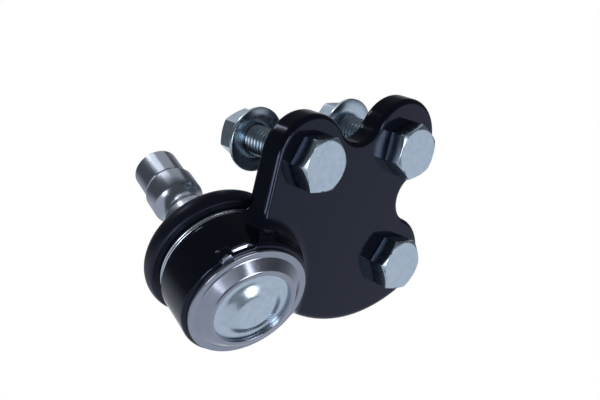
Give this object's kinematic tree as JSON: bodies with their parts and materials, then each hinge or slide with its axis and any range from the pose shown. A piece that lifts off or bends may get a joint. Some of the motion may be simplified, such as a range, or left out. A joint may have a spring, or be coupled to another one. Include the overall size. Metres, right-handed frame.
{
  "type": "suspension ball joint",
  "caption": "Suspension ball joint with a bolt-on forged bracket, a pinch-type stud, a rubber dust boot, and hex bolts with flange nuts.",
  "frame": {"origin": "middle of the pinch groove on the stud's axis", "axes": "+Z along the stud to its free end, +X the way the bracket's plate rises from the barrel, square to the stud"},
  "size_m": [0.1021, 0.0966, 0.0783],
  "materials": {
    "painted_steel": "glossy black paint on a forging",
    "turned_steel": "turned and rolled, bright",
    "stud_steel": "turned and ground",
    "zinc_plate": "clear zinc plating",
    "spring_wire": "drawn, bright",
    "seat_plastic": "moulded",
    "boot_rubber": "moulded, satin"
  },
  "bodies": {
    "bracket_body": {"bracket": "painted_steel", "socket_housing": "turned_steel", "ball_seat": "seat_plastic", "end_cap": "zinc_plate", "bolt_1": "zinc_plate", "bolt_2": "zinc_plate", "bolt_3": "zinc_plate", "nut_1": "zinc_plate", "nut_2": "zinc_plate", "nut_3": "zinc_plate"},
    "boot_body": {"dust_boot": "boot_rubber", "boot_clamp_ring": "spring_wire"},
    "boot_neck": {"boot_neck_ring": "spring_wire"},
    "stud": {"ball_stud": "stud_steel"}
  },
  "joints": [
    {"name": "swing_direction", "type": "hinge", "parent": "bracket_body", "child": "boot_body", "pos_m": [0, 0, -0.037], "axis": [0, 0, 1], "continuous": true},
    {"name": "swing", "type": "hinge", "parent": "boot_body", "child": "boot_neck", "pos_m": [0, 0, -0.037], "axis": [1, 0, 0], "range_deg": [-18, 18], "deforming": ["dust_boot"]},
    {"name": "stud_spin", "type": "hinge", "parent": "boot_neck", "child": "stud", "pos_m": [0, 0, -0.037], "axis": [0, 0, 1], "continuous": true}
  ]
}
